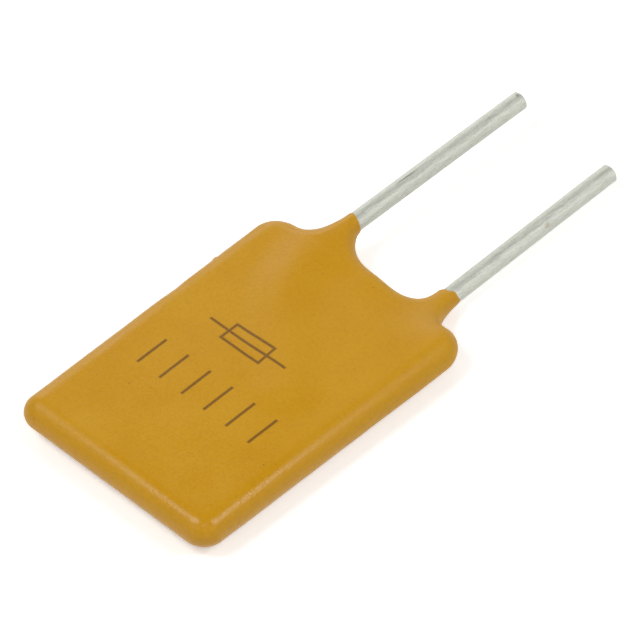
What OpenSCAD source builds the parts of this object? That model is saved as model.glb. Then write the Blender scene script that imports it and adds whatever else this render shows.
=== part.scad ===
// Resettable fuse: a polymer chip between two foils, clamped by two crossed wire leads and
// dipped in epoxy. It lies flat with +Z up and its leads along +Y. All sizes are in mm.

/* [Coated body] */
// Width across the sides
body_w = 11.1; // [10.6:0.05:14]
// Length from the front rim to the shoulders
body_l = 15.75; // [14:0.05:22]
// Thickness away from the ridges
body_t = 1.75; // [1.5:0.05:2.2]
// Plan radius of the two front corners
front_r = 1.15; // [1:0.05:2]
// Plan radius of the two shoulders
shoulder_r = 1.3; // [1:0.05:1.5]
// How far the lower lead's shoulder stands beyond the length, and the upper lead's short of it
shoulder_skew = 0.22; // [0:0.02:0.26]
// Extra height at the middle of each face, from the liquid epoxy drawing together
crown = 0.1; // [0:0.01:0.12]

/* [Collars] */
// Rise of the upper lead's collar above the shoulders
upper_rise = 1.7; // [1.3:0.05:3]
// Rise of the lower lead's collar above the shoulders
lower_rise = 2.25; // [1.3:0.05:3]
// Rise of the rim between the collars above the shoulders
valley_rise = 0.2; // [0.1:0.05:0.5]
// How tightly a collar turns from its shoulder to its wire: 1 is a quarter ellipse, less is tighter
flare_power = 0.75; // [0.5:0.05:1]
// How tightly the rim between the collars turns up each wire, on the same scale
valley_power = 0.6; // [0.5:0.05:1]
// Coating wall round the wire at a collar's end
collar_wall = 0.06; // [0.05:0.01:0.15]
// Coating over the wire along a face's ridge
crest_cover = 0.13; // [0.08:0.01:0.25]
// How far a ridge's flank reaches to each side of the wire
ridge_reach = 1.8; // [1:0.1:1.9]
// How far before the shoulders the body starts to rise to the wire's height
lift_run = 2.6; // [1:0.05:3]
// How far before the shoulders the body starts to thin toward a collar
narrow_run = 1.1; // [0.3:0.05:1.5]

/* [Leads] */
// Wire diameter
lead_d = 0.81; // [0.6:0.01:0.85]
// Distance between the two wires
lead_pitch = 5.1; // [4.6:0.05:5.6]
// Length of the upper wire beyond the shoulders
upper_out = 11.55; // [6:0.05:30]
// Length of the lower wire beyond the shoulders
lower_out = 11.75; // [6:0.05:30]
// Slope of each wire toward the mid-plane, in degrees
lead_slope = 1; // [0.2:0.1:2]
// Angle through which each inner leg bends across the chip, in degrees
lead_cross = 48; // [30:1:55]
// Centreline radius of that bend
bend_r = 6; // [5:0.1:7]
// Straight run of each inner leg after its bend
inner_run = 3.6; // [2:0.1:4.5]
// How much thinner in radius the wire is drawn round the bend
bend_thin = 0.03; // [0.02:0.005:0.04]
// Distance from the chip's edge to the start of the bend
bend_gap = 0.35; // [0.2:0.05:0.6]
// Length of bare wire at a collar's end before the wire has its full diameter
collar_clear = 0.1; // [0.05:0.01:0.3]
// Chamfer at the cut tip
tip_chamfer = 0.06; // [0.02:0.01:0.12]

/* [Chip and solder] */
// Thickness of the polymer chip
chip_t = 0.3; // [0.2:0.05:0.4]
// Thickness of each foil
foil_t = 0.035; // [0.02:0.005:0.07]
// Coating between the chip's edge and the rim
edge_cover = 0.9; // [0.7:0.05:1.2]
// Solder film between a wire and its foil
solder_film = 0.02; // [0.01:0.01:0.05]
// Half width of a solder fillet at its foot
solder_foot = 0.8; // [0.75:0.05:1]
// Radius of the hollow flank of a solder fillet
solder_flank = 0.4; // [0.36:0.02:0.42]
// Height of a solder fillet on the wire
solder_h = 0.3; // [0.26:0.02:0.34]
// Thickness of a solder fillet at its foot
solder_edge = 0.03; // [0.02:0.01:0.05]
// How much the fillet along the straight run is wider than round the bend
solder_step = 0.01; // [0.005:0.001:0.02]
// Foil left bare between a solder fillet and the chip's edge
solder_inset = 0.15; // [0.1:0.05:1]

/* [Hidden] */

$fn = 64;
half_w = body_w / 2;
rim_r = body_t / 2;
lead_r = lead_d / 2;
lead_x = lead_pitch / 2;
collar_r = lead_r + collar_wall;

// Heights from the mid-plane of the chip
face_z = chip_t / 2 + foil_t;
lead_z = face_z + solder_film + lead_r;
crest_z = lead_z + lead_r + crest_cover;

// Lengths from the front rim
chip_w = body_w - 2 * edge_cover;
chip_l = body_l - 2 * edge_cover;
bend_y = edge_cover + chip_l + bend_gap;
valley_y = body_l + valley_rise;
overall_l = body_l + max(upper_out, lower_out);

// The upper wire in plan: where its bend starts and ends, and where its inner leg ends
bend_start = [-lead_x, bend_y];
bend_centre = bend_start + [bend_r, 0];
bend_end = bend_centre - bend_r * [cos(lead_cross), sin(lead_cross)];
leg_end = bend_end + inner_run * [sin(lead_cross), -cos(lead_cross)];
drawn_r = lead_r - bend_thin;
joint_r = lead_r - bend_thin / 2;
joint_run = 0.12;
solder_turn = asin((bend_gap + solder_inset) / (bend_r - solder_foot));

// Mesh of the dipped skin: rows run along the body, columns from its middle to its rim
columns = 18;
corner_rows = 6;
side_rows = 20;
collar_rows = 12;
flare_x = half_w - shoulder_r;
flare = flare_x - lead_x - collar_r;
lift_start = body_l - lift_run;
narrow_start = body_l - narrow_run;

function clamp01(t) = min(1, max(0, t));
function mix(a, b, t) = a + (b - a) * t;
function ease(t) = let (c = clamp01(t)) c * c * (3 - 2 * c);
function bell(t) = pow(cos(90 * clamp01(t)), 2);
function segment_gap(p, a, b) =
    let (d = b - a, t = clamp01(((p - a) * d) / (d * d)))
    norm(p - a - t * d);

// Each row of one half: its inner end, its outer end and how far it belongs to the collar
function skin_rows(rise, skew) =
    let (collar_y = body_l + rise, side_end = body_l - shoulder_r)
    concat(
        [for (i = [0 : corner_rows])
            let (a = 90 * i / corner_rows, y = front_r * (1 - cos(a)))
            [[0, y], [half_w - front_r + front_r * sin(a), y], 0]],
        [for (i = [1 : side_rows - 1])
            let (t = i / side_rows)
            [[0, mix(front_r, side_end, t)], [half_w, mix(front_r, side_end + skew, t)], 0]],
        [for (i = [0 : corner_rows])
            let (a = 90 * i / corner_rows)
            [[0, mix(side_end, valley_y, sin(a))],
             [flare_x + shoulder_r * cos(a), side_end + skew + shoulder_r * sin(a)],
             sin(a)]],
        [for (i = [1 : collar_rows])
            let (a = 90 * i / collar_rows)
            [[(lead_x - collar_r) * pow(sin(a), valley_power),
              collar_y - (collar_y - valley_y) * pow(cos(a), valley_power)],
             [flare_x - flare * pow(sin(a), flare_power),
              collar_y - (rise - skew) * pow(cos(a), flare_power)],
             1]]
    );

// Distance from a point to the plan outline of one half, with the open collar end left out
function rim_gap(p, rows) =
    let (last = len(rows) - 1, first_collar = last - collar_rows)
    min(concat(
        [segment_gap(p, rows[0][0], rows[0][1])],
        [for (i = [0 : last - 1]) segment_gap(p, rows[i][1], rows[i + 1][1])],
        [for (i = [first_collar : last - 1]) segment_gap(p, rows[i][0], rows[i + 1][0])]
    ));

// Distance in plan from a point to the upper wire's bend, where it lies beside the bend
function bend_gap_at(p) =
    let (v = bend_centre - p, turn = atan2(v.y, v.x))
    turn < 0 || turn > lead_cross ? bend_r : abs(norm(v) - bend_r);

// Share of the ridge over the upper wire at a plan point
function ridge_share(p) =
    bell(min(
        bend_gap_at(p),
        segment_gap(p, bend_end, leg_end),
        segment_gap(p, bend_start, [bend_start.x, overall_l])
    ) / ridge_reach);

// Heights [upper, lower] of the skin of the half that holds the lower wire
function skin_heights(p, gap, rise) =
    let (
        collar_y = body_l + rise,
        collar_z = lead_z - (collar_y - bend_y) * tan(lead_slope),
        lift = ease((p.y - lift_start) / (collar_y - lift_start)),
        narrowing = ease((p.y - narrow_start) / (collar_y - narrow_start)),
        r = mix(rim_r, collar_r, narrowing * ease(2 * p.x / lead_x)),
        middle = -collar_z * lift * bell(abs(p.x - lead_x) / lead_x),
        half_t = gap < 0.0001 ? 0 : sqrt(r * r - pow(max(0, r - gap), 2)),
        crest = max(0, mix(crest_z, collar_z + collar_r, lift) - collar_z * lift - r),
        swell = crown * bell(p.x / half_w) * bell(abs(2 * p.y / body_l - 1)),
        over = half_t / r * mix(swell, crest, ridge_share(p)),
        under = half_t / r * mix(swell, crest, ridge_share([-p.x, p.y]))
    )
    [middle + half_t + over, middle - half_t - under];

// Points of one half, upper sheet then lower sheet, row by row
function half_points(rise, skew) =
    let (
        rows = skin_rows(rise, skew),
        plan = [for (row = rows, i = [0 : columns])
            let (
                spread = sin(90 * i / columns),
                round_spread = (1 - cos(180 * i / columns)) / 2
            )
            mix(row[0], row[1], mix(spread, round_spread, row[2]))],
        heights = [for (p = plan) skin_heights(p, rim_gap(p, rows), rise)]
    )
    concat(
        [for (i = [0 : len(plan) - 1]) [plan[i].x, plan[i].y, heights[i][0]]],
        [for (i = [0 : len(plan) - 1]) [plan[i].x, plan[i].y, heights[i][1]]]
    );

// Faces of one half whose points start at the given index
function half_faces(start, sheet) =
    let (
        wide = columns + 1,
        cells = [for (j = [0 : sheet / wide - 2], i = [0 : columns - 1]) j * wide + i],
        last = sheet - wide
    )
    concat(
        [for (c = cells) let (b = start + c) [b, b + wide, b + 1]],
        [for (c = cells) let (b = start + c) [b + 1, b + wide, b + wide + 1]],
        [for (c = cells) let (b = start + sheet + c) [b, b + 1, b + wide]],
        [for (c = cells) let (b = start + sheet + c) [b + 1, b + wide + 1, b + wide]],
        [concat(
            [for (i = [columns : -1 : 0]) start + last + i],
            [for (i = [1 : columns - 1]) start + sheet + last + i]
        )]
    );

// Moves a shape from the chip's mid-plane and the front rim to the part's own frame
module placed() {
    translate([0, -overall_l / 2, crest_z])
        children();
}

// The lower side is the upper side turned over about the length of the part
module turned_over() {
    rotate([0, 180, 0])
        children();
}

module skin() {
    near = half_points(lower_rise, shoulder_skew);
    far = [for (p = half_points(upper_rise, -shoulder_skew)) [-p.x, p.y, -p.z]];
    sheet = len(near) / 2;
    polyhedron(
        points = concat(near, far),
        faces = concat(half_faces(0, sheet), half_faces(len(near), sheet)),
        convexity = 6
    );
}

// Puts a shape that stands along +Z on the end of the bend, pointing back along the wire
module at_bend_end() {
    translate([bend_centre.x, bend_centre.y, 0])
        rotate([0, 0, lead_cross])
            translate([-bend_r, 0, 0])
                rotate([-90, 0, 0])
                    children();
}

module bent_wire(rise, out) {
    collar_run = (body_l + rise - bend_y) / cos(lead_slope) + collar_clear;
    free_end = (body_l + out - bend_y) / cos(lead_slope) - tip_chamfer;
    translate([0, 0, lead_z]) {
        translate([bend_start.x, bend_start.y, 0])
            rotate([-90 - lead_slope, 0, 0])
                rotate_extrude()
                    polygon([
                        [0, -joint_run],
                        [joint_r, -joint_run],
                        [lead_r, collar_run],
                        [lead_r, free_end],
                        [lead_r - tip_chamfer, free_end + tip_chamfer],
                        [0, free_end + tip_chamfer],
                    ]);
        translate([bend_centre.x, bend_centre.y, 0])
            rotate([0, 0, 180])
                rotate_extrude(angle = lead_cross)
                    translate([bend_r, 0])
                        circle(r = drawn_r);
        at_bend_end()
            translate([0, 0, -inner_run])
                cylinder(h = inner_run + joint_run, r = joint_r);
    }
}

module solder_section(step) {
    foot = solder_foot + step;
    difference() {
        translate([-foot, 0])
            square([2 * foot, solder_h + step]);
        for (side = [-1, 1])
            translate([side * foot, solder_edge + step + solder_flank])
                circle(r = solder_flank);
    }
}

module solder_mound() {
    translate([bend_centre.x, bend_centre.y, face_z])
        rotate([0, 0, 180 + solder_turn])
            rotate_extrude(angle = lead_cross - solder_turn)
                translate([bend_r, 0])
                    solder_section(0);
    translate([leg_end.x, leg_end.y, face_z])
        rotate([0, 0, lead_cross]) {
            translate([0, inner_run + 8 * solder_step, 0])
                rotate([90, 0, 0])
                    linear_extrude(height = inner_run + 8 * solder_step)
                        solder_section(solder_step);
            rotate([0, 0, 180])
                rotate_extrude(angle = 180)
                    intersection() {
                        solder_section(solder_step);
                        square([2 * solder_foot, 2 * solder_h]);
                    }
        }
}

module upper_wire() {
    bent_wire(upper_rise, upper_out);
}

module lower_wire() {
    turned_over()
        bent_wire(lower_rise, lower_out);
}

module chip_sheet(thickness) {
    translate([-chip_w / 2, edge_cover, 0])
        cube([chip_w, chip_l, thickness]);
}

module coating() {
    color([0.78, 0.58, 0.16])
        placed()
            difference() {
                skin();
                translate([0, 0, -face_z])
                    chip_sheet(2 * face_z);
                solder_mound();
                upper_wire();
                turned_over()
                    solder_mound();
                lower_wire();
            }
}

module ptc_chip() {
    color([0.12, 0.12, 0.13])
        placed()
            translate([0, 0, -chip_t / 2])
                chip_sheet(chip_t);
}

module upper_foil() {
    color([0.72, 0.66, 0.56])
        placed()
            translate([0, 0, chip_t / 2])
                chip_sheet(foil_t);
}

module lower_foil() {
    color([0.72, 0.66, 0.56])
        placed()
            translate([0, 0, -face_z])
                chip_sheet(foil_t);
}

module upper_solder() {
    color([0.7, 0.71, 0.73])
        placed()
            difference() {
                solder_mound();
                upper_wire();
            }
}

module lower_solder() {
    color([0.7, 0.71, 0.73])
        placed()
            difference() {
                turned_over()
                    solder_mound();
                lower_wire();
            }
}

module upper_lead() {
    color([0.8, 0.8, 0.8])
        placed()
            upper_wire();
}

module lower_lead() {
    color([0.8, 0.8, 0.8])
        placed()
            lower_wire();
}

coating();
ptc_chip();
upper_foil();
lower_foil();
upper_solder();
lower_solder();
upper_lead();
lower_lead();
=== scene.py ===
import math
import bpy
from mathutils import Matrix, Vector


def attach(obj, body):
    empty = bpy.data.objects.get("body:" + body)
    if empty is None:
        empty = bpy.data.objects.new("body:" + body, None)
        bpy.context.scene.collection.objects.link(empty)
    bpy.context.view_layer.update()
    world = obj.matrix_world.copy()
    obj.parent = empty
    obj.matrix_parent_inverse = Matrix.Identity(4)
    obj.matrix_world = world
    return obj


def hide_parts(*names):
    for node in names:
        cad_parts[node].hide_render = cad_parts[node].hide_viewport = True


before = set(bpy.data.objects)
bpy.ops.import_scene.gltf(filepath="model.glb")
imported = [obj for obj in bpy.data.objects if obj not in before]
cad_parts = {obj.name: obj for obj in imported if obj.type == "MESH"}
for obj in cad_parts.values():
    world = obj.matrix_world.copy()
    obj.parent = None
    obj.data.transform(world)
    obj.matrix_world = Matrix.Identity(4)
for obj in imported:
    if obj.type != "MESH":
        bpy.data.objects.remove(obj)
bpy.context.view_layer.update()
mm = 0.001
noiseLow, noiseHigh = 0.3, 0.7  # the band that most of a noise lies in
scene = bpy.context.scene
scene.view_settings.view_transform = "Standard"
print("frame:", ", ".join(sorted(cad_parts)))


def linear(code):  # sRGB hex to linear colour
    parts = [int(code[i:i + 2], 16) / 255 for i in (1, 3, 5)]
    return [c / 12.92 if c <= 0.04045 else ((c + 0.055) / 1.055) ** 2.4 for c in parts] + [1.0]


def feed(tree, node, links):  # links: sockets, nodes or plain values, by input name or number
    for key, value in links.items():
        if isinstance(value, bpy.types.Node):
            value = next(out for out in value.outputs if out.enabled)
        if isinstance(value, bpy.types.NodeSocket):
            tree.links.new(value, node.inputs[key])
        else:
            node.inputs[key].default_value = value


# Map Range has its value at 0, the range it comes from at 1 and 2, and the range it goes to at 3 and 4
def addNode(tree, kind, links=None, **settings):
    node = tree.nodes.new(kind)
    for key, value in settings.items():
        setattr(node, key, value)
    feed(tree, node, links or {})
    return node


def newTree(name, ports):  # empty geometry tree with its named inputs
    tree = bpy.data.node_groups.new(name, "GeometryNodeTree")
    tree.interface.new_socket("Geometry", in_out="OUTPUT", socket_type="NodeSocketGeometry")
    for port, kind in {"Geometry": "Geometry", **ports}.items():
        tree.interface.new_socket(port, in_out="INPUT", socket_type="NodeSocket" + kind)
    return tree, addNode(tree, "NodeGroupInput").outputs


def runTree(piece, tree, values):  # shape a piece with a tree, then keep the plain mesh
    modifier = piece.modifiers.new(tree.name, "NODES")
    modifier.node_group = tree
    for port in tree.interface.items_tree:
        if port.in_out == "INPUT" and port.name in values:
            modifier[port.identifier] = values[port.name]
    graph = bpy.context.evaluated_depsgraph_get()
    made = bpy.data.meshes.new_from_object(piece.evaluated_get(graph))
    piece.modifiers.clear()
    piece.data = made
    made.name = piece.name
    print(piece.name, len(made.polygons), "faces")


def newMesh(name, points, edges=(), faces=()):  # points in mm
    mesh = bpy.data.meshes.new(name)
    mesh.from_pydata([[c * mm for c in p] for p in points], edges, faces)
    piece = bpy.data.objects.new(name, mesh)
    scene.collection.objects.link(piece)
    return piece


def chain(name, points):  # points joined by edges
    return newMesh(name, points, [(i, i + 1) for i in range(len(points) - 1)])


def newMaterial(name):
    material = bpy.data.materials.new(name)
    material.use_nodes = True
    tree = material.node_tree
    return material, tree, tree.nodes["Principled BSDF"]


def mix(a, b, t):
    return a + (b - a) * t


# Camera: looks down from the front right corner through a long lens, in degrees and mm
shot = {"azimuth": 44.418, "elevation": 47.976, "width": 26.94, "centre": (-0.8325, 0.2277),
        "distance": 1154.0, "farthest": 10000.0}


def addCamera():
    turn, tilt = math.radians(shot["azimuth"]), math.radians(shot["elevation"])
    right = Vector((math.cos(turn), math.sin(turn), 0))
    back = Vector((math.sin(turn) * math.cos(tilt), -math.cos(turn) * math.cos(tilt), math.sin(tilt)))
    up = back.cross(right)
    data = bpy.data.cameras.new("camera")
    data.lens = data.sensor_width * shot["distance"] / shot["width"]
    data.clip_end = shot["farthest"] * mm
    camera = bpy.data.objects.new("camera", data)
    scene.collection.objects.link(camera)
    spot = (right * shot["centre"][0] + up * shot["centre"][1] + back * shot["distance"]) * mm
    axes = [[right[i], up[i], back[i], spot[i]] for i in range(3)]
    camera.matrix_world = Matrix(axes + [[0, 0, 0, 1]])
    scene.camera = camera


addCamera()
print("camera set")


# The dipped body in mm: y runs from the front rim, z from the middle of the chip
dip = {
    "width": 11.1, "length": 15.75, "thickness": 1.75, "crown": 0.1,
    "upperCorner": 0.8, "lowerCorner": 1.15,  # front corners, on the side of each lead
    "shoulder": 1.3, "skew": 0.22,  # the lower lead's shoulder stands further back than the upper's
    "upperRise": 1.57, "lowerRise": 2.15, "valleyRise": 0.2,  # collars and the rim between them
    "upperSlant": 0.23, "lowerSlant": 0.38,  # how much lower a collar ends on its inner side
    "upperFlare": (0.75, 1.1), "upperValley": (0.6, 1.5),  # how tightly each side of a collar turns,
    "lowerFlare": (0.75, 1.35), "lowerValley": (0.55, 0.62),  # across and along
    "collarWall": 0.07, "crestCover": 0.13,  # epoxy over a wire, in a collar and on a ridge
    "ridgeReach": 1.8, "liftRun": 2.6, "narrowRun": 1.1,  # over what lengths the skin blends to a wire
    "lipRun": 0.12, "lipShut": 0.97,  # a collar's lip ends just inside the wire
    "ragged": 0.16, "raggedUpper": 0.2, "raggedReach": 0.6,  # torn edge on each wire, less on the upper one
    "tearSize": 0.32, "tearStretch": 0.2,  # width of a tear, and how much slower it changes along the wire
    "wave": 0.018, "waveSize": 2.6,  # how unevenly the liquid set, always inward
    "bow": 0.4,  # how far the rows under a collar sag, so that they stay inside the outline
    "columns": 52, "cornerRows": 22, "sideRows": 92, "collarRows": 64, "lipRows": 6,
    "climb": 3.0,  # crowds the rows at the foot of a collar
    "onRim": 0.00002, "weld": 0.0005,  # closer than this, a point is on the rim, or two are one
    "seed": 4.0,
    "dabs": [  # small flaws: place, radius, height
        ((2.74, 17.6, -0.1), 0.2, 0.1),  # bead of epoxy on the lower collar
        ((-5.45, 11.75, 0.42), 0.22, 0.045),  # fleck on the left edge
        ((-5.43, 9.3, 0.38), 0.9, -0.03),  # shallow hollow on the left edge
    ],
}
# The two formed wires, one over each face of the chip, in mm and degrees
wire = {
    "diameter": 0.81, "pitch": 5.1, "upperOut": 11.55, "lowerOut": 11.75, "slope": 1.0, "chamfer": 0.06,
    "cross": 48.0, "bend": 6.0, "bendGap": 0.35, "inner": 3.6,  # the leg that bends across the chip
    "face": 0.185, "film": 0.02, "edgeCover": 0.9,  # chip face, solder under a wire, epoxy round the chip
    "thinner": 0.03, "tinning": 0.015, "swellAt": 0.6,  # thin in the bend, full and tinned past the collar
    "bendSteps": 32, "runSteps": 60, "sides": 48,
    "sharp": 35.0, "tipFacing": 0.98,  # angle of a crisp edge, and how squarely the cut tip faces along y
    "grain": 0.004, "dent": 0.3, "dentLength": 2.2,  # dents left by drawing, always inward
}
halfW = dip["width"] / 2
rimR = dip["thickness"] / 2
leadR = wire["diameter"] / 2
leadX = wire["pitch"] / 2
collarR = leadR + dip["collarWall"]
leadZ = wire["face"] + wire["film"] + leadR
crestZ = leadZ + leadR + dip["crestCover"]
tipY = dip["length"] + max(wire["upperOut"], wire["lowerOut"])
bendY = dip["length"] - wire["edgeCover"] + wire["bendGap"]
fall = math.tan(math.radians(wire["slope"]))
toFrame = (0, -tipY / 2 * mm, crestZ * mm)  # from these sizes to the part's own frame
noLip = -1.0  # lip gap of a point that isn't on a lip


def wirePath(rise, out):  # upper wire, from the inner leg's end to the tip: points and radii
    cross = math.radians(wire["cross"])
    centre = (-leadX + wire["bend"], bendY)
    bent = []
    for i in range(wire["bendSteps"] + 1):
        a = cross * (1 - i / wire["bendSteps"])
        bent.append((centre[0] - wire["bend"] * math.cos(a), centre[1] - wire["bend"] * math.sin(a), leadZ))
    end = bent[0]
    leg = [(end[0] + s * math.sin(cross), end[1] - s * math.cos(cross), leadZ)
           for s in (wire["inner"], wire["inner"] / 2)]
    collar = dip["length"] + rise - bendY
    run = dip["length"] + out - bendY
    bare = [mix(collar, run - wire["chamfer"], i / wire["runSteps"]) for i in range(wire["runSteps"] + 1)]
    straight = [(-leadX, bendY + s, leadZ - s * fall) for s in [wire["swellAt"] * collar] + bare + [run]]
    drawnR = leadR - wire["thinner"]
    fullR = leadR + wire["tinning"]
    radii = [drawnR] * (len(leg) + len(bent)) + [mix(drawnR, fullR, wire["swellAt"])]
    radii += [fullR] * len(bare) + [fullR - wire["chamfer"]]
    return leg + bent + straight, radii


def turned(points):  # the lower wire is the upper one turned over
    return [(-x, y, -z) for x, y, z in points]


def turnIn(climb, powers):  # how far a collar has closed on its wire at a share of its height
    level = (1 - climb) ** (1 / powers[1])
    return (1 - level * level) ** (powers[0] / 2)


def skinRows(name, skew):  # inner end, outer end, share of the collar, sag, lip radius or none
    corner, seam, shoulder = dip[name + "Corner"], dip["lowerCorner"], dip["shoulder"]
    collarY = dip["length"] + dip[name + "Rise"]
    innerY = collarY - dip[name + "Slant"]
    valleyY = dip["length"] + dip["valleyRise"]
    sideEnd = dip["length"] - shoulder
    flareX = halfW - shoulder
    flare = flareX - leadX - collarR
    rows = []
    for i in range(dip["cornerRows"] + 1):  # front corner
        a = math.radians(90 * i / dip["cornerRows"])
        outer = (halfW - corner + corner * math.sin(a), corner * (1 - math.cos(a)))
        rows.append(((0, seam * (1 - math.cos(a))), outer, 0, 0, None))
    for i in range(1, dip["sideRows"]):  # long side
        t = i / dip["sideRows"]
        outer = (halfW, mix(corner, sideEnd + skew, t))
        rows.append(((0, mix(seam, sideEnd, t)), outer, 0, 0, None))
    for i in range(dip["cornerRows"] + 1):  # shoulder
        t = i / dip["cornerRows"]
        a = math.radians(90 * t)
        outer = (flareX + shoulder * math.cos(a), sideEnd + skew + shoulder * math.sin(a))
        rows.append(((0, mix(sideEnd, valleyY, t)), outer, t, dip["bow"] * t, None))
    for i in range(1, dip["collarRows"] + 1):  # collar, from the valley and the shoulder up to its end
        t = i / dip["collarRows"]
        climb = t ** dip["climb"]
        inner = ((leadX - collarR) * turnIn(climb, dip[name + "Valley"]), mix(valleyY, innerY, climb))
        outer = (flareX - flare * turnIn(climb, dip[name + "Flare"]),
                 mix(dip["length"] + skew, collarY, climb))
        rows.append((inner, outer, 1, dip["bow"] * (1 - t) ** 2, None))
    for i in range(1, dip["lipRows"] + 2):  # the lip turns in to the wire, then closes inside it
        a = math.radians(90 * min(i / dip["lipRows"], 1))
        r = mix(leadR * dip["lipShut"], collarR, math.cos(a)) if i <= dip["lipRows"] else 0
        lip = dip["lipRun"] * math.sin(a)
        rows.append(((leadX - r, innerY + lip), (leadX + r, collarY + lip), 1, 0, r))
    return rows


def skinPlan():  # flat plan of both halves, with what the tree needs at each point
    points, faces, lipGaps, lipScales, edges = [], [], [], [], []
    outline, lines = [], []
    wide = dip["columns"] + 1
    for side, name, tear in ((1, "lower", 1), (-1, "upper", dip["raggedUpper"])):
        rows = skinRows(name, side * dip["skew"])
        end = dip["length"] + dip[name + "Rise"]
        start = len(points)
        for inner, outer, share, sag, lip in rows:
            for i in range(wide):
                t = i / dip["columns"]
                spread = mix(math.sin(math.pi / 2 * t), (1 - math.cos(math.pi * t)) / 2, share)
                x = mix(inner[0], outer[0], spread)
                y = mix(inner[1], outer[1], spread) - sag * 4 * spread * (1 - spread)  # hangs as a parabola
                points.append((side * x, y, 0))
                lipGaps.append(noLip if lip is None else max(0.0, lip - abs(x - leadX)) * mm)
                lipScales.append(1.0 if lip is None else lip / collarR)
                near = min(1, max(0, 1 + (y - end) / dip["raggedReach"]))
                edges.append(near * tear if share == 1 else 0)
        for j in range(len(rows) - 1):
            for i in range(dip["columns"]):
                a = start + j * wide + i
                quad = (a, a + 1, a + wide + 1, a + wide)
                faces.append(quad if side == 1 else quad[::-1])
        collar = rows[-dip["collarRows"] - dip["lipRows"] - 2:]  # from the shoulder's last row
        rim = [rows[0][0]] + [outer for inner, outer, share, sag, lip in rows if lip is None]
        valley = [inner for inner, outer, share, sag, lip in collar if lip is None]
        for line in (rim, valley):
            first = len(outline)
            outline += [(side * x, y, 0) for x, y in line]
            lines += [(first + i, first + i + 1) for i in range(len(line) - 1)]
    plan = newMesh("coatingSkin", points, faces=faces)
    for name, values in {"lipGap": lipGaps, "lipScale": lipScales, "edge": edges}.items():
        plan.data.attributes.new(name, "FLOAT", "POINT").data.foreach_set("value", values)
    return plan, newMesh("outline", outline, lines)


def addRim(tree, size, radius):  # half thickness from the distance to the rim
    outline = addNode(tree, "GeometryNodeObjectInfo", {0: size["Outline"]}).outputs["Geometry"]
    rim = addNode(tree, "GeometryNodeProximity", {0: outline}, target_element="EDGES")
    lipGap = addNode(tree, "GeometryNodeInputNamedAttribute", {"Name": "lipGap"})
    isLip = addNode(tree, "ShaderNodeMath", {0: lipGap, 1: noLip / 2}, operation="GREATER_THAN")
    gap = addNode(tree, "GeometryNodeSwitch", {0: isLip, 1: rim.outputs["Distance"], 2: lipGap},
                  input_type="FLOAT")
    offRim = addNode(tree, "ShaderNodeMath", {0: gap, 1: dip["onRim"] * mm}, operation="GREATER_THAN")
    inset = addNode(tree, "ShaderNodeMath", {0: radius, 1: gap}, operation="SUBTRACT")
    inside = addNode(tree, "ShaderNodeMath", {0: inset, 1: 0.0}, operation="MAXIMUM")
    insideSq = addNode(tree, "ShaderNodeMath", {0: inside, 1: inside}, operation="MULTIPLY")
    radiusSq = addNode(tree, "ShaderNodeMath", {0: radius, 1: radius}, operation="MULTIPLY")
    chord = addNode(tree, "ShaderNodeMath", {0: radiusSq, 1: insideSq}, operation="SUBTRACT")
    rounded = addNode(tree, "ShaderNodeMath", {0: chord}, operation="SQRT")
    return addNode(tree, "ShaderNodeMath", {0: rounded, 1: offRim}, operation="MULTIPLY")


def addFlaws(tree, size, place, shell):  # uneven setting of the liquid, small flaws and the torn edges
    normal = addNode(tree, "GeometryNodeInputNormal")
    waves = addNode(tree, "ShaderNodeTexNoise", {
        "Vector": place, "W": size["Seed"], "Scale": size["Wave Scale"], "Detail": 2.0},
        noise_dimensions="4D")
    hollow = addNode(tree, "ShaderNodeMapRange", {0: waves, 1: noiseLow, 2: noiseHigh})
    push = addNode(tree, "ShaderNodeMath", {0: hollow, 1: size["Wave"]}, operation="MULTIPLY")
    for spot, reach, rise in dip["dabs"]:
        far = addNode(tree, "ShaderNodeVectorMath", {0: place, 1: [c * mm for c in spot]},
                      operation="DISTANCE")
        dab = addNode(tree, "ShaderNodeMapRange", {
            0: far.outputs["Value"], 2: reach * mm, 3: -rise * mm, 4: 0.0},
            interpolation_type="SMOOTHSTEP")
        push = addNode(tree, "ShaderNodeMath", {0: push, 1: dab}, operation="ADD")
    inward = addNode(tree, "ShaderNodeMath", {0: push, 1: -1.0}, operation="MULTIPLY")
    shift = addNode(tree, "ShaderNodeVectorMath", {0: normal, 3: inward}, operation="SCALE")
    uneven = addNode(tree, "GeometryNodeSetPosition", {0: shell, 3: shift})
    stretched = addNode(tree, "ShaderNodeVectorMath", {0: place, 1: (1, dip["tearStretch"], 1)},
                        operation="MULTIPLY")
    tear = addNode(tree, "ShaderNodeTexNoise", {
        "Vector": stretched, "W": size["Seed"], "Scale": size["Tear Scale"], "Detail": 2.0},
        noise_dimensions="4D")
    edge = addNode(tree, "GeometryNodeInputNamedAttribute", {"Name": "edge"})
    tornBy = addNode(tree, "ShaderNodeMapRange", {
        0: tear, 1: noiseLow, 2: noiseHigh, 3: size["Ragged"], 4: 0.0})
    torn = addNode(tree, "ShaderNodeMath", {0: tornBy, 1: edge}, operation="MULTIPLY")
    back = addNode(tree, "ShaderNodeMath", {0: torn, 1: -1.0}, operation="MULTIPLY")
    pulled = addNode(tree, "ShaderNodeCombineXYZ", {1: back})
    return addNode(tree, "GeometryNodeSetPosition", {0: uneven, 3: pulled})


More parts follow.
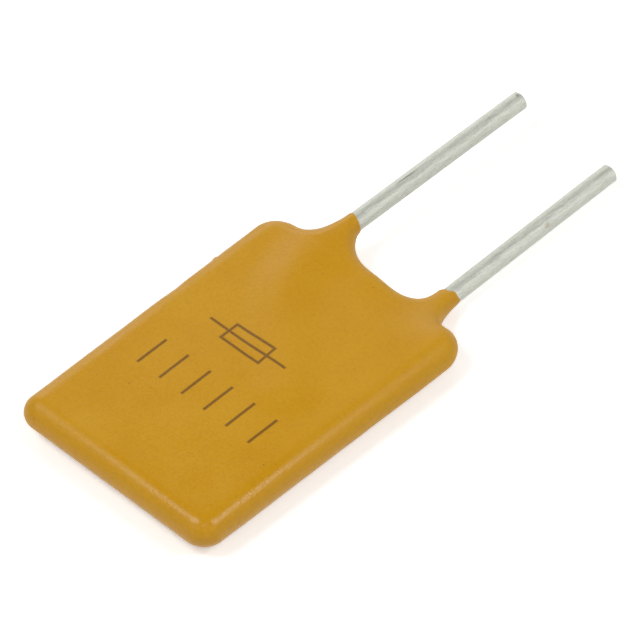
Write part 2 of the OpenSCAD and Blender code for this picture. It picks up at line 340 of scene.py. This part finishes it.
def skinTree():
    tree, size = newTree("epoxyDip", {
        "Outline": "Object", "Wire": "Object", "Material": "Material", "Rim Radius": "Float",
        "Collar Radius": "Float", "Upper Collar": "Float", "Lower Collar": "Float", "Bend": "Float",
        "Fall": "Float", "Lead Height": "Float", "Lead Offset": "Float", "Neck": "Float",
        "Lift Start": "Float", "Narrow Start": "Float", "Crest Height": "Float", "Ridge Reach": "Float",
        "Half Width": "Float", "Half Length": "Float", "Crown": "Float", "Wave": "Float",
        "Wave Scale": "Float", "Ragged": "Float", "Tear Scale": "Float", "Seed": "Float",
        "To Frame": "Vector"})
    place = addNode(tree, "GeometryNodeInputPosition")
    axes = addNode(tree, "ShaderNodeSeparateXYZ", {0: place})
    across, along = axes.outputs["X"], axes.outputs["Y"]
    away = addNode(tree, "ShaderNodeMath", {0: across}, operation="ABSOLUTE")
    side = addNode(tree, "ShaderNodeMath", {0: across}, operation="SIGN")
    isLower = addNode(tree, "ShaderNodeMath", {0: across, 1: 0.0}, operation="GREATER_THAN")
    # Height of the wire where its collar ends, and how far the body has come to it
    collarY = addNode(tree, "ShaderNodeMapRange", {
        0: isLower, 3: size["Upper Collar"], 4: size["Lower Collar"]})
    collarRun = addNode(tree, "ShaderNodeMath", {0: collarY, 1: size["Bend"]}, operation="SUBTRACT")
    collarFall = addNode(tree, "ShaderNodeMath", {0: collarRun, 1: size["Fall"]}, operation="MULTIPLY")
    collarZ = addNode(tree, "ShaderNodeMath", {0: size["Lead Height"], 1: collarFall}, operation="SUBTRACT")
    lift = addNode(tree, "ShaderNodeMapRange", {0: along, 1: size["Lift Start"], 2: collarY},
                   interpolation_type="SMOOTHSTEP")
    narrow = addNode(tree, "ShaderNodeMapRange", {0: along, 1: size["Narrow Start"], 2: collarY},
                     interpolation_type="SMOOTHSTEP")
    # Rounding radius of the rim, narrower toward a collar
    neck = addNode(tree, "ShaderNodeMapRange", {0: away, 2: size["Neck"]}, interpolation_type="SMOOTHSTEP")
    necked = addNode(tree, "ShaderNodeMath", {0: narrow, 1: neck}, operation="MULTIPLY")
    fullR = addNode(tree, "ShaderNodeMapRange", {
        0: necked, 3: size["Rim Radius"], 4: size["Collar Radius"]})
    lipScale = addNode(tree, "GeometryNodeInputNamedAttribute", {"Name": "lipScale"})
    radius = addNode(tree, "ShaderNodeMath", {0: fullR, 1: lipScale}, operation="MULTIPLY")
    half = addRim(tree, size, radius)
    fullness = addNode(tree, "ShaderNodeMath", {0: half, 1: radius}, operation="DIVIDE")
    # The middle of the skin follows each wire up or down
    offAxis = addNode(tree, "ShaderNodeMath", {0: away, 1: size["Lead Offset"]}, operation="SUBTRACT")
    fromAxis = addNode(tree, "ShaderNodeMath", {0: offAxis}, operation="ABSOLUTE")
    nearAxis = addNode(tree, "ShaderNodeMapRange", {0: fromAxis, 2: size["Lead Offset"], 3: 1.0, 4: 0.0},
                       interpolation_type="SMOOTHSTEP")
    sink = addNode(tree, "ShaderNodeMath", {0: collarZ, 1: lift}, operation="MULTIPLY")
    sunk = addNode(tree, "ShaderNodeMath", {0: sink, 1: nearAxis}, operation="MULTIPLY")
    drop = addNode(tree, "ShaderNodeMath", {0: sunk, 1: side}, operation="MULTIPLY")
    # Height of the ridge over a wire, and the slight crown elsewhere
    collarTop = addNode(tree, "ShaderNodeMath", {0: collarZ, 1: size["Collar Radius"]}, operation="ADD")
    ridgeTop = addNode(tree, "ShaderNodeMapRange", {0: lift, 3: size["Crest Height"], 4: collarTop})
    ridgeRise = addNode(tree, "ShaderNodeMath", {0: ridgeTop, 1: sink}, operation="SUBTRACT")
    ridgeOver = addNode(tree, "ShaderNodeMath", {0: ridgeRise, 1: fullR}, operation="SUBTRACT")
    crest = addNode(tree, "ShaderNodeMath", {0: ridgeOver, 1: 0.0}, operation="MAXIMUM")
    fromMiddle = addNode(tree, "ShaderNodeMath", {0: along, 1: size["Half Length"]}, operation="SUBTRACT")
    lengthways = addNode(tree, "ShaderNodeMath", {0: fromMiddle}, operation="ABSOLUTE")
    swellX = addNode(tree, "ShaderNodeMapRange", {0: away, 2: size["Half Width"], 3: size["Crown"], 4: 0.0},
                     interpolation_type="SMOOTHSTEP")
    swellY = addNode(tree, "ShaderNodeMapRange", {0: lengthways, 2: size["Half Length"], 3: 1.0, 4: 0.0},
                     interpolation_type="SMOOTHSTEP")
    swell = addNode(tree, "ShaderNodeMath", {0: swellX, 1: swellY}, operation="MULTIPLY")
    path = addNode(tree, "GeometryNodeObjectInfo", {0: size["Wire"]}).outputs["Geometry"]
    sheets = []
    for face in (1, -1):  # upper sheet, then the lower one, which sees the wire turned over
        mirrored = addNode(tree, "ShaderNodeVectorMath", {0: place, 1: (face, 1, 1)}, operation="MULTIPLY")
        near = addNode(tree, "GeometryNodeProximity", {0: path, 2: mirrored}, target_element="EDGES")
        share = addNode(tree, "ShaderNodeMapRange", {
            0: near.outputs["Distance"], 2: size["Ridge Reach"], 3: 1.0, 4: 0.0},
            interpolation_type="SMOOTHSTEP")
        raised = addNode(tree, "ShaderNodeMapRange", {0: share, 3: swell, 4: crest})
        over = addNode(tree, "ShaderNodeMath", {0: raised, 1: fullness, 2: half}, operation="MULTIPLY_ADD")
        height = addNode(tree, "ShaderNodeMath", {0: over, 1: face}, operation="MULTIPLY")
        level = addNode(tree, "ShaderNodeMath", {0: height, 1: drop}, operation="SUBTRACT")
        spot = addNode(tree, "ShaderNodeCombineXYZ", {0: across, 1: along, 2: level})
        sheets.append(addNode(tree, "GeometryNodeSetPosition", {0: size["Geometry"], 2: spot}))
    flipped = addNode(tree, "GeometryNodeFlipFaces", {0: sheets[1]})
    joined = addNode(tree, "GeometryNodeJoinGeometry", {0: sheets[0]})
    feed(tree, joined, {0: flipped})
    shell = addNode(tree, "GeometryNodeMergeByDistance", {0: joined, 2: dip["weld"] * mm})
    flawed = addFlaws(tree, size, place, shell)
    placed = addNode(tree, "GeometryNodeSetPosition", {0: flawed, 3: size["To Frame"]})
    smooth = addNode(tree, "GeometryNodeSetShadeSmooth", {0: placed})
    real = addNode(tree, "GeometryNodeRealizeInstances", {0: smooth})
    dressed = addNode(tree, "GeometryNodeSetMaterial", {0: real, 2: size["Material"]})
    addNode(tree, "NodeGroupOutput", {0: dressed})
    return tree


def makeCoating(skin):
    plan, outline = skinPlan()
    points = wirePath(dip["upperRise"], wire["upperOut"])[0]
    ridge = chain("ridgeLine", [(x, y, 0) for x, y, z in points])
    runTree(plan, skinTree(), {
        "Outline": outline, "Wire": ridge, "Material": skin, "Rim Radius": rimR * mm,
        "Collar Radius": collarR * mm, "Upper Collar": (dip["length"] + dip["upperRise"]) * mm,
        "Lower Collar": (dip["length"] + dip["lowerRise"]) * mm, "Bend": bendY * mm, "Fall": fall,
        "Lead Height": leadZ * mm, "Lead Offset": leadX * mm, "Neck": leadX / 2 * mm,
        "Lift Start": (dip["length"] - dip["liftRun"]) * mm,
        "Narrow Start": (dip["length"] - dip["narrowRun"]) * mm,
        "Crest Height": crestZ * mm, "Ridge Reach": dip["ridgeReach"] * mm, "Half Width": halfW * mm,
        "Half Length": dip["length"] / 2 * mm, "Crown": dip["crown"] * mm, "Wave": dip["wave"] * mm,
        "Wave Scale": 1 / (dip["waveSize"] * mm), "Ragged": dip["ragged"] * mm,
        "Tear Scale": 1 / (dip["tearSize"] * mm), "Seed": dip["seed"], "To Frame": toFrame})
    for helper in (outline, ridge):
        bpy.data.objects.remove(helper)
    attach(plan, "root")
    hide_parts("coating")


def wireTree():
    tree, size = newTree("drawnWire", {
        "Sides": "Int", "Grain": "Float", "Dent Scale": "Vector", "Tip Facing": "Float",
        "Material": "Material", "Cut": "Material", "To Frame": "Vector"})
    curve = addNode(tree, "GeometryNodeMeshToCurve", {0: size["Geometry"]})
    girth = addNode(tree, "GeometryNodeInputNamedAttribute", {"Name": "girth"})
    ring = addNode(tree, "GeometryNodeCurvePrimitiveCircle", {"Resolution": size["Sides"], "Radius": 1.0})
    swept = addNode(tree, "GeometryNodeCurveToMesh", {0: curve, 1: ring, 2: girth, 3: True})
    place = addNode(tree, "GeometryNodeInputPosition")
    stretched = addNode(tree, "ShaderNodeVectorMath", {0: place, 1: size["Dent Scale"]},
                        operation="MULTIPLY")
    lines = addNode(tree, "ShaderNodeTexNoise", {"Vector": stretched, "Scale": 1.0, "Detail": 2.0})
    dent = addNode(tree, "ShaderNodeMapRange", {0: lines, 1: noiseLow, 2: noiseHigh, 3: 0.0, 4: -1.0})
    depth = addNode(tree, "ShaderNodeMath", {0: dent, 1: size["Grain"]}, operation="MULTIPLY")
    normal = addNode(tree, "GeometryNodeInputNormal")
    shift = addNode(tree, "ShaderNodeVectorMath", {0: normal, 3: depth}, operation="SCALE")
    grained = addNode(tree, "GeometryNodeSetPosition", {0: swept, 3: shift})
    placed = addNode(tree, "GeometryNodeSetPosition", {0: grained, 3: size["To Frame"]})
    smooth = addNode(tree, "GeometryNodeSetShadeSmooth", {0: placed})
    real = addNode(tree, "GeometryNodeRealizeInstances", {0: smooth})
    dressed = addNode(tree, "GeometryNodeSetMaterial", {0: real, 2: size["Material"]})
    facing = addNode(tree, "ShaderNodeSeparateXYZ", {0: normal})
    atTip = addNode(tree, "ShaderNodeMath", {0: facing.outputs["Y"], 1: size["Tip Facing"]},
                    operation="GREATER_THAN")
    cut = addNode(tree, "GeometryNodeSetMaterial", {0: dressed, 1: atTip, 2: size["Cut"]})
    addNode(tree, "NodeGroupOutput", {0: cut})
    return tree


def makeLeads(tinned, cut):
    tree = wireTree()
    dents = [1 / (size * mm) for size in (wire["dent"], wire["dentLength"], wire["dent"])]
    for name, node in (("upper", "upper_lead"), ("lower", "lower_lead")):
        points, radii = wirePath(dip[name + "Rise"], wire[name + "Out"])
        piece = chain(name + "Wire", points if name == "upper" else turned(points))
        girth = piece.data.attributes.new("girth", "FLOAT", "POINT")
        girth.data.foreach_set("value", [r * mm for r in radii])
        runTree(piece, tree, {
            "Sides": wire["sides"], "Grain": wire["grain"] * mm, "Dent Scale": dents,
            "Tip Facing": wire["tipFacing"], "Material": tinned, "Cut": cut, "To Frame": toFrame})
        piece.data.set_sharp_from_angle(angle=math.radians(wire["sharp"]))
        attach(piece, "root")
        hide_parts(node)


# Marks burnt into the upper face: a plain fuse symbol above a row of plain bars, in mm from the front rim
marks = {
    "burnt": "#6E470E", "share": 0.9, "stroke": 0.13, "soft": 0.035, "uneven": 0.02,
    "level": 0.45,  # only above this height, so that the underside stays plain
    "symbol": (-0.7, 8.95), "symbolHalf": (1.1, 0.5), "tails": 2.2,
    "bars": 6, "barPitch": 1.3, "barMiddle": (-0.1, 5.9), "barHalf": 0.875,
}


def markStrokes():  # middle and half size of each stroke
    half = marks["stroke"] / 2
    x, y = marks["symbol"]
    wide, high = marks["symbolHalf"]
    strokes = [((x, y), (marks["tails"], half))]
    strokes += [((x, y + side * high), (wide, half)) for side in (-1, 1)]
    strokes += [((x + side * wide, y), (half, high + half)) for side in (-1, 1)]
    middle, y = marks["barMiddle"]
    first = middle - marks["barPitch"] * (marks["bars"] - 1) / 2
    strokes += [((first + i * marks["barPitch"], y), (half, marks["barHalf"]))
                for i in range(marks["bars"])]
    return strokes


def addMarks(tree, place, colour, ragged):  # the coating's colour with the marks burnt into it
    skin = addNode(tree, "ShaderNodeVectorMath", {0: place, 1: toFrame}, operation="SUBTRACT")
    nearest = 1.0  # metres, farther than any stroke
    for (x, y), (wide, high) in markStrokes():
        off = addNode(tree, "ShaderNodeVectorMath", {0: skin, 1: (x * mm, y * mm, 0)}, operation="SUBTRACT")
        far = addNode(tree, "ShaderNodeVectorMath", {0: off}, operation="ABSOLUTE")
        past = addNode(tree, "ShaderNodeVectorMath", {0: far, 1: (wide * mm, high * mm, 0)},
                       operation="SUBTRACT")
        axes = addNode(tree, "ShaderNodeSeparateXYZ", {0: past})
        gap = addNode(tree, "ShaderNodeMath", {0: axes.outputs["X"], 1: axes.outputs["Y"]},
                      operation="MAXIMUM")
        nearest = addNode(tree, "ShaderNodeMath", {0: gap, 1: nearest}, operation="MINIMUM")
    uneven = addNode(tree, "ShaderNodeMapRange", {
        0: ragged, 3: -marks["uneven"] * mm, 4: marks["uneven"] * mm})
    rough = addNode(tree, "ShaderNodeMath", {0: nearest, 1: uneven}, operation="ADD")
    inside = addNode(tree, "ShaderNodeMapRange", {
        0: rough, 1: -marks["soft"] * mm, 2: marks["soft"] * mm, 3: marks["share"], 4: 0.0})
    height = addNode(tree, "ShaderNodeSeparateXYZ", {0: skin})
    onTop = addNode(tree, "ShaderNodeMath", {0: height.outputs["Z"], 1: marks["level"] * mm},
                    operation="GREATER_THAN")
    burnt = addNode(tree, "ShaderNodeMath", {0: inside, 1: onTop}, operation="MULTIPLY")
    return addNode(tree, "ShaderNodeMix", {0: burnt, 6: colour, 7: linear(marks["burnt"])},
                   data_type="RGBA")


# Cured epoxy, dipped and oven-set, mustard pigment: satin, faintly mottled, with a few burnt specks
epoxy = {
    "deep": "#BB8505", "mid": "#C68E04", "pale": "#C99410", "speck": "#8A5A10",
    "mottle": 3.0, "mottleBand": (0.32, 0.7),  # cloudy patches, and the part of the noise that shows
    "grain": 0.16, "grainBand": (0.45, 0.75), "grainShare": 0.55,  # pigment, drawn coarser so that it shows
    "speckGap": 0.9, "speckSize": 0.05, "speckCore": 0.02, "speckBlur": 1.4,
    "speckPick": (0.6, 0.95), "speckShare": 0.6,  # which of the specks are burnt, and how far
    "peel": 0.3, "frost": 0.1, "frostShare": 2.2,  # orange peel, and haze drawn coarser so that it shows
    "relief": 0.012, "bump": 0.5, "matt": (0.24, 0.4), "gloss": 0.3, "ior": 1.5,
    "drip": (5.0, 0.6, 0.4), "dripReach": (3.0, 11.0), "dripMatt": (-0.03, 0.14),  # drained last there
}


def makeEpoxy():
    material, tree, shader = newMaterial("satin dipped epoxy")
    place = addNode(tree, "ShaderNodeTexCoord").outputs["Object"]
    mottle = addNode(tree, "ShaderNodeTexNoise", {
        "Vector": place, "Scale": 1 / (epoxy["mottle"] * mm), "Detail": 3.0, "Roughness": 0.55})
    # Colour: cloudy tint, pigment, burnt specks, then the marks
    low, high = epoxy["mottleBand"]
    blotch = addNode(tree, "ShaderNodeMapRange", {0: mottle, 1: low, 2: high})
    tint = addNode(tree, "ShaderNodeMix", {0: blotch, 6: linear(epoxy["mid"]), 7: linear(epoxy["pale"])},
                   data_type="RGBA")
    grain = addNode(tree, "ShaderNodeTexNoise", {
        "Vector": place, "Scale": 1 / (epoxy["grain"] * mm), "Detail": 2.0, "Roughness": 0.7})
    low, high = epoxy["grainBand"]
    grit = addNode(tree, "ShaderNodeMapRange", {0: grain, 1: low, 2: high, 4: epoxy["grainShare"]})
    dusty = addNode(tree, "ShaderNodeMix", {0: grit, 6: tint, 7: linear(epoxy["deep"])}, data_type="RGBA")
    cells = addNode(tree, "ShaderNodeTexVoronoi", {"Vector": place, "Scale": 1 / (epoxy["speckGap"] * mm)})
    edge = epoxy["speckSize"] / epoxy["speckGap"] * epoxy["speckBlur"]
    dot = addNode(tree, "ShaderNodeMapRange", {
        0: cells.outputs["Distance"], 1: epoxy["speckCore"], 2: edge, 3: 1.0, 4: 0.0})
    pick = addNode(tree, "ShaderNodeSeparateColor", {0: cells.outputs["Color"]})
    low, high = epoxy["speckPick"]
    chosen = addNode(tree, "ShaderNodeMapRange", {
        0: pick.outputs["Red"], 1: low, 2: high, 4: epoxy["speckShare"]})
    speck = addNode(tree, "ShaderNodeMath", {0: dot, 1: chosen}, operation="MULTIPLY")
    specked = addNode(tree, "ShaderNodeMix", {0: speck, 6: dusty, 7: linear(epoxy["speck"])},
                      data_type="RGBA")
    colour = addMarks(tree, place, specked, grain)
    # Glossiest at the corner where it drained last
    drip = [c * mm + shift for c, shift in zip(epoxy["drip"], toFrame)]
    away = addNode(tree, "ShaderNodeVectorMath", {0: place, 1: drip}, operation="DISTANCE")
    near, far = epoxy["dripReach"]
    duller = addNode(tree, "ShaderNodeMapRange", {
        0: away.outputs["Value"], 1: near * mm, 2: far * mm,
        3: epoxy["dripMatt"][0], 4: epoxy["dripMatt"][1]})
    uneven = addNode(tree, "ShaderNodeMapRange", {
        0: mottle, 1: noiseLow, 2: noiseHigh, 3: epoxy["matt"][0], 4: epoxy["matt"][1]})
    matt = addNode(tree, "ShaderNodeMath", {0: uneven, 1: duller}, operation="ADD")
    # Relief: orange peel under a fine haze
    peel = addNode(tree, "ShaderNodeTexNoise", {
        "Vector": place, "Scale": 1 / (epoxy["peel"] * mm), "Detail": 2.5, "Roughness": 0.6})
    frost = addNode(tree, "ShaderNodeTexNoise", {
        "Vector": place, "Scale": 1 / (epoxy["frost"] * mm), "Detail": 1.0})
    rough = addNode(tree, "ShaderNodeMath", {0: frost, 1: epoxy["frostShare"], 2: peel},
                    operation="MULTIPLY_ADD")
    bump = addNode(tree, "ShaderNodeBump", {
        "Strength": epoxy["bump"], "Distance": epoxy["relief"] * mm, "Height": rough})
    feed(tree, shader, {"Base Color": colour, "Roughness": matt, "Normal": bump, "IOR": epoxy["ior"],
                        "Specular IOR Level": epoxy["gloss"]})
    return material


# Copper wire drawn and hot-tinned: pale frosty grey with lengthwise draw lines and small stains
tin = {
    "dark": "#898B81", "mid": "#B5B6AC", "pale": "#C8C9C0", "stain": "#8C7A66",
    "line": 0.08, "lineLength": 0.7,
    "frost": 0.06, "frostBand": (0.5, 0.75), "frostShare": 0.7,  # drawn coarser so that it shows
    "stainGap": 1.5, "stainSize": 0.3, "stainCore": 0.02, "stainBlur": 0.06, "stainShare": 0.5,
    "matt": (0.4, 0.56), "relief": 0.03, "bump": 0.8,
    "scarCore": 0.2,  # share of a scar's reach that has its full strength
    "scars": [  # place, reach along each axis, colour, strength
        ((-2.58, 20.45, 0.92), (0.05, 0.8, 0.12), "#55564F", 0.7),  # scrape from the forming tool
        ((-2.15, 20.03, 0.45), (0.14, 0.2, 0.14), "#8A6A4A", 0.4),  # brown stain
        ((2.86, 23.34, -0.2), (0.14, 0.24, 0.14), "#8A6A4A", 0.35),  # brown stain
        ((-2.57, 27.1, 0.8), (0.12, 0.1, 0.12), "#5E5A50", 0.7),  # nick near the tip
    ],
}


def makeTin():
    material, tree, shader = newMaterial("hot tinned copper wire")
    place = addNode(tree, "ShaderNodeTexCoord").outputs["Object"]
    fine = [1 / (size * mm) for size in (tin["line"], tin["lineLength"], tin["line"])]
    drawn = addNode(tree, "ShaderNodeMapping", {"Vector": place, "Scale": fine})
    lines = addNode(tree, "ShaderNodeTexNoise", {
        "Vector": drawn, "Scale": 1.0, "Detail": 3.0, "Roughness": 0.6})
    frost = addNode(tree, "ShaderNodeTexNoise", {
        "Vector": place, "Scale": 1 / (tin["frost"] * mm), "Detail": 3.0, "Roughness": 0.7})
    # Colour: draw lines, frosting, scattered stains, then the scars
    band = addNode(tree, "ShaderNodeMapRange", {0: lines, 1: noiseLow, 2: noiseHigh})
    base = addNode(tree, "ShaderNodeMix", {0: band, 6: linear(tin["mid"]), 7: linear(tin["pale"])},
                   data_type="RGBA")
    low, high = tin["frostBand"]
    dull = addNode(tree, "ShaderNodeMapRange", {0: frost, 1: low, 2: high, 4: tin["frostShare"]})
    frosted = addNode(tree, "ShaderNodeMix", {0: dull, 6: base, 7: linear(tin["dark"])}, data_type="RGBA")
    cells = addNode(tree, "ShaderNodeTexVoronoi", {"Vector": place, "Scale": 1 / (tin["stainGap"] * mm)})
    uneven = addNode(tree, "ShaderNodeMapRange", {0: frost, 3: -tin["stainBlur"], 4: tin["stainBlur"]})
    blur = addNode(tree, "ShaderNodeMath", {0: cells.outputs["Distance"], 1: uneven}, operation="ADD")
    spot = addNode(tree, "ShaderNodeMapRange", {
        0: blur, 1: tin["stainCore"], 2: tin["stainSize"] / tin["stainGap"], 3: tin["stainShare"], 4: 0.0})
    colour = addNode(tree, "ShaderNodeMix", {0: spot, 6: frosted, 7: linear(tin["stain"])},
                     data_type="RGBA")
    for middle, reach, shade, strength in tin["scars"]:
        spread = [1 / (r * mm) for r in reach]
        start = [-(middle[i] * mm + toFrame[i]) * spread[i] for i in range(3)]
        near = addNode(tree, "ShaderNodeMapping", {"Vector": place, "Location": start, "Scale": spread})
        away = addNode(tree, "ShaderNodeVectorMath", {0: near}, operation="LENGTH")
        scar = addNode(tree, "ShaderNodeMapRange", {
            0: away.outputs["Value"], 1: tin["scarCore"], 2: 1.0, 3: strength, 4: 0.0})
        colour = addNode(tree, "ShaderNodeMix", {0: scar, 6: colour, 7: linear(shade)}, data_type="RGBA")
    matt = addNode(tree, "ShaderNodeMapRange", {
        0: lines, 1: noiseLow, 2: noiseHigh, 3: tin["matt"][0], 4: tin["matt"][1]})
    relief = addNode(tree, "ShaderNodeMath", {0: lines, 1: frost}, operation="ADD")
    bump = addNode(tree, "ShaderNodeBump", {
        "Strength": tin["bump"], "Distance": tin["relief"] * mm, "Height": relief})
    feed(tree, shader, {"Base Color": colour, "Roughness": matt, "Normal": bump, "Metallic": 1.0})
    return material


# What the dip hides and the cut tips show: two colours, grain in mm, how fine the grain is along
# each axis, roughness, relief in mm, metallic
hidden = {
    "carbon filled polymer sheet":  # dull, sooty
        ("#151517", "#29292C", 0.09, (1, 1, 1), (0.6, 0.8), 0.01, 0.0),
    "rough nickel foil":  # warm grey, pitted
        ("#8F8775", "#BDB4A0", 0.05, (1, 1, 1), (0.4, 0.6), 0.006, 1.0),
    "soft tin solder":  # bright, rippled
        ("#9EA1A5", "#C9CCD0", 0.35, (1, 1, 1), (0.25, 0.4), 0.02, 1.0),
    "sheared copper":  # pink, streaked by the cutter
        ("#84543E", "#BE8E72", 0.04, (1, 1, 0.15), (0.3, 0.5), 0.006, 1.0),
}


def makeHidden(name):
    low, high, grain, fineness, matt, depth, metal = hidden[name]
    material, tree, shader = newMaterial(name)
    place = addNode(tree, "ShaderNodeTexCoord").outputs["Object"]
    drawn = addNode(tree, "ShaderNodeMapping", {
        "Vector": place, "Scale": [fine / (grain * mm) for fine in fineness]})
    noise = addNode(tree, "ShaderNodeTexNoise", {
        "Vector": drawn, "Scale": 1.0, "Detail": 3.0, "Roughness": 0.65})
    share = addNode(tree, "ShaderNodeMapRange", {0: noise, 1: noiseLow, 2: noiseHigh})
    colour = addNode(tree, "ShaderNodeMix", {0: share, 6: linear(low), 7: linear(high)}, data_type="RGBA")
    worn = addNode(tree, "ShaderNodeMapRange", {
        0: noise, 1: noiseLow, 2: noiseHigh, 3: matt[0], 4: matt[1]})
    bump = addNode(tree, "ShaderNodeBump", {"Strength": 0.4, "Distance": depth * mm, "Height": noise})
    feed(tree, shader, {"Base Color": colour, "Roughness": worn, "Normal": bump, "Metallic": metal})
    return material


epoxySkin = makeEpoxy()
tinnedWire = makeTin()
carbonSheet, nickelFoil, tinSolder, cutCopper = [makeHidden(name) for name in hidden]
insides = {"ptc_chip": carbonSheet, "upper_foil": nickelFoil, "lower_foil": nickelFoil,
           "upper_solder": tinSolder, "lower_solder": tinSolder}
for name, material in insides.items():
    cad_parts[name].data.materials.clear()
    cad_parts[name].data.materials.append(material)
print("materials made")

makeCoating(epoxySkin)
makeLeads(tinnedWire, cutCopper)
print("coating and leads made")

# White paper sweep and studio: bright to the camera, but the paper still takes the part's shadow
studio = {"paper": "#F2F2F0", "matt": 0.9, "reach": 900.0, "lift": 0.4,
          "ceiling": 0.25, "horizon": (0.5, 0.85), "fill": 0.265}


def makeFloor():
    paper, tree, shader = newMaterial("white paper sweep")
    rays = addNode(tree, "ShaderNodeLightPath").outputs
    seen = addNode(tree, "ShaderNodeMath", {0: rays["Is Camera Ray"], 1: rays["Is Glossy Ray"]},
                   operation="ADD")
    seenToo = addNode(tree, "ShaderNodeMath", {0: seen, 1: rays["Is Transmission Ray"]}, operation="ADD")
    glow = addNode(tree, "ShaderNodeMath", {0: seenToo, 1: studio["lift"]}, operation="MULTIPLY")
    feed(tree, shader, {"Emission Strength": glow, "Emission Color": (1, 1, 1, 1),
                        "Base Color": linear(studio["paper"]), "Roughness": studio["matt"],
                        "Specular IOR Level": 0.0})
    reach = studio["reach"]
    corners = [(-reach, -reach, 0), (reach, -reach, 0), (reach, reach, 0), (-reach, reach, 0)]
    floor = newMesh("floor", corners, faces=[(0, 1, 2, 3)])
    floor.data.materials.append(paper)


def makeWorld():  # white to the camera, darker overhead in reflections, and an even fill
    world = bpy.data.worlds.new("studio")
    scene.world = world
    world.use_nodes = True
    tree = world.node_tree
    rays = addNode(tree, "ShaderNodeLightPath").outputs
    way = addNode(tree, "ShaderNodeTexCoord").outputs["Generated"]
    axes = addNode(tree, "ShaderNodeSeparateXYZ", {0: way})
    low, high = studio["horizon"]
    height = addNode(tree, "ShaderNodeMapRange", {
        0: axes.outputs["Z"], 1: low, 2: high, 3: 1.0, 4: studio["ceiling"]},
        interpolation_type="SMOOTHSTEP")
    shiny = addNode(tree, "ShaderNodeMath", {0: rays["Is Glossy Ray"], 1: rays["Is Transmission Ray"]},
                    operation="MAXIMUM")
    mirrored = addNode(tree, "ShaderNodeMapRange", {0: shiny, 3: studio["fill"], 4: height})
    level = addNode(tree, "ShaderNodeMapRange", {0: rays["Is Camera Ray"], 3: mirrored, 4: 1.0})
    feed(tree, tree.nodes["Background"], {"Color": (1, 1, 1, 1), "Strength": level})


# Softboxes: direction from the part, distance and width in mm, watts
softboxes = {
    "leftBox": ((-0.28, -0.45, 0.85), 300, 125, 0.33),
    "rightBox": ((0.56, 0.32, 0.765), 300, 110, 0.28),
    "backBox": ((-0.76, 0.52, 0.39), 320, 150, 0.165),
    "frontBox": ((0.43, -0.44, 0.79), 300, 70, 0.06),
    "lowFrontBox": ((-0.1, -0.85, 0.52), 320, 170, 0.055),
    "lowSideBox": ((0.85, 0.05, 0.52), 320, 170, 0.045),
}


def addLamps():
    for name, (way, distance, width, watts) in softboxes.items():
        data = bpy.data.lights.new(name, "AREA")
        data.shape = "DISK"
        data.size = width * mm
        data.energy = watts
        lamp = bpy.data.objects.new(name, data)
        scene.collection.objects.link(lamp)
        lamp.location = [c * distance * mm for c in way]
        lamp.rotation_euler = lamp.location.to_track_quat("Z", "Y").to_euler()
        lamp.visible_camera = False


makeFloor()
makeWorld()
addLamps()
print("stage and lamps set")
